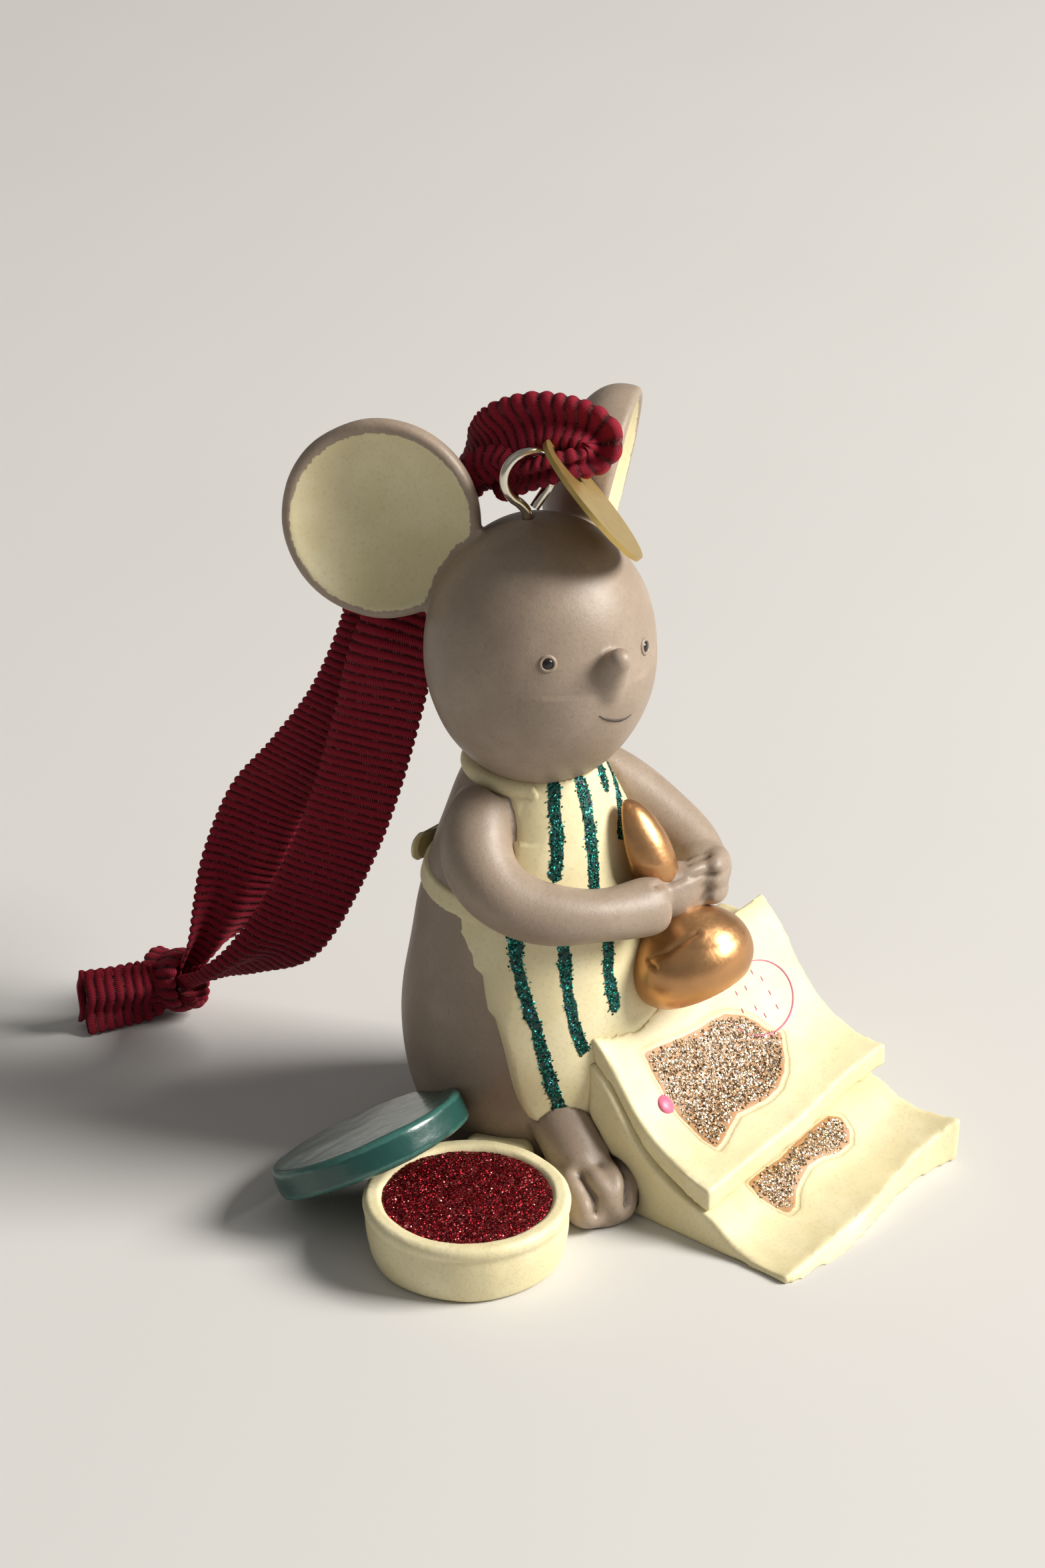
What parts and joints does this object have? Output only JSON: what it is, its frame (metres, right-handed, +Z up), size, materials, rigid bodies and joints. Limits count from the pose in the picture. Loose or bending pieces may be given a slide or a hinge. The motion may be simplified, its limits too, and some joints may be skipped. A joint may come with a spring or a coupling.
{
  "type": "mouse ornament",
  "caption": "Hanging ornament of a seated mouse in a striped apron pressing a stamp on paper, with an ink pot and lid, a screw eye, a round tag and a ribbon loop.",
  "frame": {"origin": "middle of the flat seat under the torso, on the table", "axes": "+Z up, the mouse faces -Y, its right side is -X"},
  "size_m": [0.0676, 0.1071, 0.0958],
  "materials": {
    "taupe_paint": "cast resin with satin hand paint",
    "ear_paint": "cast resin, taupe outside and cream inside",
    "apron_paint": "cast resin, cream paint with green glitter stripes",
    "cream_paint": "cast resin with satin cream paint",
    "paper_paint": "cast resin, cream paint with gold glitter bells",
    "copper_paint": "cast resin with satin metallic copper paint",
    "red_glitter": "fine red glitter",
    "green_gloss": "cast resin with glossy dark green paint",
    "plated_steel": "pale plated wire",
    "tag_brass": "thin stamped brass, lightly brushed",
    "crimson_ribbon": "ribbed grosgrain weave with scalloped edges"
  },
  "bodies": {
    "figure": {"torso": "taupe_paint", "head": "taupe_paint", "nose": "taupe_paint", "right_ear": "ear_paint", "left_ear": "ear_paint", "apron_bib": "apron_paint", "apron_skirt": "apron_paint", "neck_strap": "cream_paint", "waist_tie": "cream_paint", "apron_bow": "cream_paint", "right_arm": "taupe_paint", "left_arm": "taupe_paint", "right_hand": "taupe_paint", "left_hand": "taupe_paint", "right_leg": "taupe_paint", "right_foot": "taupe_paint", "left_leg": "taupe_paint", "tail": "taupe_paint", "stamp_head": "copper_paint", "stamp_handle": "copper_paint", "top_sheet": "paper_paint", "lower_sheet": "paper_paint", "ink_pot": "cream_paint", "ink_fill": "red_glitter", "ink_lid": "green_gloss", "pot_bead": "cream_paint", "screw_eye": "plated_steel", "ribbon_fold": "crimson_ribbon"},
    "tag": {"tag": "tag_brass"},
    "ribbon": {"ribbon_near_leg": "crimson_ribbon", "ribbon_far_leg": "crimson_ribbon", "ribbon_knot": "crimson_ribbon", "ribbon_front_end": "crimson_ribbon", "ribbon_back_end": "crimson_ribbon"}
  },
  "joints": [
    {"name": "ribbon_swing", "type": "hinge", "parent": "figure", "child": "ribbon", "pos_m": [0.0008, 0.0074, 0.087], "axis": [0.9962, -0.0872, 0], "range_deg": [0, 100]},
    {"name": "tag_swing", "type": "hinge", "parent": "figure", "child": "tag", "pos_m": [0.00132, -0.00354, 0.08884], "axis": [0.5855, -0.5129, 0.6278], "range_deg": [-45, 0]}
  ]
}
